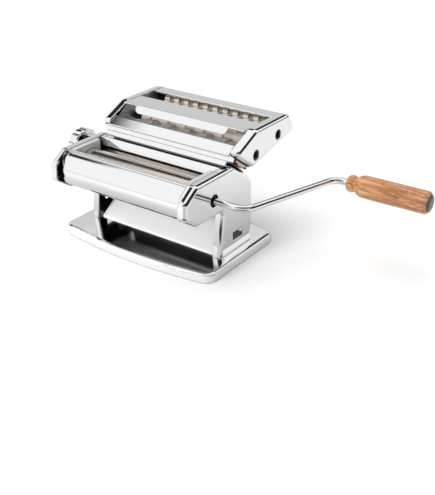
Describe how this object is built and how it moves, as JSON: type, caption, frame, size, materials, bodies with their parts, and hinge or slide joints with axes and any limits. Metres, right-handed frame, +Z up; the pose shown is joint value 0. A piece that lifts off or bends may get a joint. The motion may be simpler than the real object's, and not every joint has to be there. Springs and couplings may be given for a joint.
{
  "type": "hand-cranked pasta roller",
  "caption": "Chromed table-top pasta roller: smooth sheeting rollers with a thickness regulator, a removable cutter head with two ringed cutter pairs, and a pull-out crank with a wooden grip.",
  "frame": {"origin": "middle of the base, on the table", "axes": "+X along the rollers to the crank side, +Y to the back under the cutter head, +Z up"},
  "size_m": [0.3876, 0.1918, 0.129],
  "materials": {
    "chrome": "bright mirror chrome plate on pressed steel",
    "roller_nickel": "warm satin nickel, turned",
    "cutter_nickel": "warm satin nickel with dark grooves",
    "inner_steel": "plain zinc-plated steel",
    "rail_steel": "plain plated steel strip",
    "bush_bronze": "sintered bronze",
    "grip_beech": "satin varnished beech"
  },
  "bodies": {
    "frame": {"base_plate": "chrome", "foot_rivets": "inner_steel", "left_side_frame": "chrome", "right_side_frame": "chrome", "left_bearing_plate": "inner_steel", "right_bearing_plate": "inner_steel", "front_roller_bushes": "bush_bronze", "front_cover": "chrome", "rear_cover": "chrome", "chute_panel": "chrome", "left_dough_guide": "chrome", "right_dough_guide": "chrome", "attachment_rail": "rail_steel", "rear_tie_rod": "inner_steel", "tie_rod_screws": "inner_steel", "front_scraper": "inner_steel", "rear_scraper": "inner_steel", "regulator_bush": "bush_bronze", "regulator_end_bush": "bush_bronze", "index_plate": "chrome"},
    "front_roller": {"front_roller": "roller_nickel", "front_roller_gear": "inner_steel"},
    "crank": {"crank_rod": "chrome", "grip_washer": "inner_steel"},
    "grip": {"crank_grip": "grip_beech"},
    "regulator": {"regulator_shaft": "inner_steel", "regulator_dial": "chrome"},
    "regulator_knob": {"regulator_knob": "chrome"},
    "rear_carriage": {"left_bearing_block": "inner_steel", "right_bearing_block": "inner_steel"},
    "rear_roller": {"rear_roller": "roller_nickel", "rear_roller_gear": "inner_steel"},
    "cutter_head": {"cutter_left_cap": "chrome", "cutter_right_cap": "chrome", "cutter_left_plate": "inner_steel", "cutter_right_plate": "inner_steel", "cutter_front_plate": "chrome", "cutter_middle_plate": "chrome", "cutter_rear_cover": "chrome", "cutter_mount_channel": "rail_steel"},
    "front_cutter_drive": {"front_cutter_drive_roller": "cutter_nickel", "front_cutter_drive_gear": "inner_steel"},
    "front_cutter_driven": {"front_cutter_driven_roller": "cutter_nickel", "front_cutter_driven_gear": "inner_steel"},
    "rear_cutter_drive": {"rear_cutter_drive_roller": "cutter_nickel", "rear_cutter_drive_gear": "inner_steel"},
    "rear_cutter_driven": {"rear_cutter_driven_roller": "cutter_nickel", "rear_cutter_driven_gear": "inner_steel"}
  },
  "joints": [
    {"name": "front_roller_spin", "type": "hinge", "parent": "frame", "child": "front_roller", "pos_m": [0, -0.0345, 0.0784], "axis": [1, 0, 0], "continuous": true},
    {"name": "crank_pull", "type": "slide", "parent": "front_roller", "child": "crank", "axis": [1, 0, 0], "range_m": [0, 0.03]},
    {"name": "grip_spin", "type": "hinge", "parent": "crank", "child": "grip", "pos_m": [0.2165, 0.0785, 0.0784], "axis": [1, 0, 0], "continuous": true},
    {"name": "regulator_turn", "type": "hinge", "parent": "frame", "child": "regulator", "pos_m": [0, 0.0018, 0.0784], "axis": [-1, 0, 0], "range_deg": [0, 150]},
    {"name": "regulator_pull", "type": "slide", "parent": "regulator", "child": "regulator_knob", "axis": [1, 0, 0], "range_m": [0, 0.0032]},
    {"name": "rear_carriage_slide", "type": "slide", "parent": "frame", "child": "rear_carriage", "axis": [0, 1, 0], "range_m": [0, 0.002]},
    {"name": "rear_roller_spin", "type": "hinge", "parent": "rear_carriage", "child": "rear_roller", "pos_m": [0, 0.0008, 0.0784], "axis": [1, 0, 0], "continuous": true},
    {"name": "cutter_slide", "type": "slide", "parent": "frame", "child": "cutter_head", "axis": [-1, 0, 0], "range_m": [0, 0.175]},
    {"name": "front_cutter_spin", "type": "hinge", "parent": "cutter_head", "child": "front_cutter_drive", "pos_m": [0, 0.035, 0.103], "axis": [1, 0, 0], "continuous": true},
    {"name": "front_cutter_driven_spin", "type": "hinge", "parent": "cutter_head", "child": "front_cutter_driven", "pos_m": [0, 0.051, 0.107], "axis": [1, 0, 0], "continuous": true},
    {"name": "rear_cutter_spin", "type": "hinge", "parent": "cutter_head", "child": "rear_cutter_drive", "pos_m": [0, 0.076, 0.1125], "axis": [1, 0, 0], "continuous": true},
    {"name": "rear_cutter_driven_spin", "type": "hinge", "parent": "cutter_head", "child": "rear_cutter_driven", "pos_m": [0, 0.092, 0.1165], "axis": [1, 0, 0], "continuous": true}
  ],
  "couplings": [
    {"joint": "rear_roller_spin", "follows": "front_roller_spin", "ratio": -1},
    {"joint": "regulator_turn", "follows": "rear_carriage_slide", "rad_per_m": 1309},
    {"joint": "front_cutter_driven_spin", "follows": "front_cutter_spin", "ratio": -1},
    {"joint": "rear_cutter_driven_spin", "follows": "rear_cutter_spin", "ratio": -1}
  ]
}
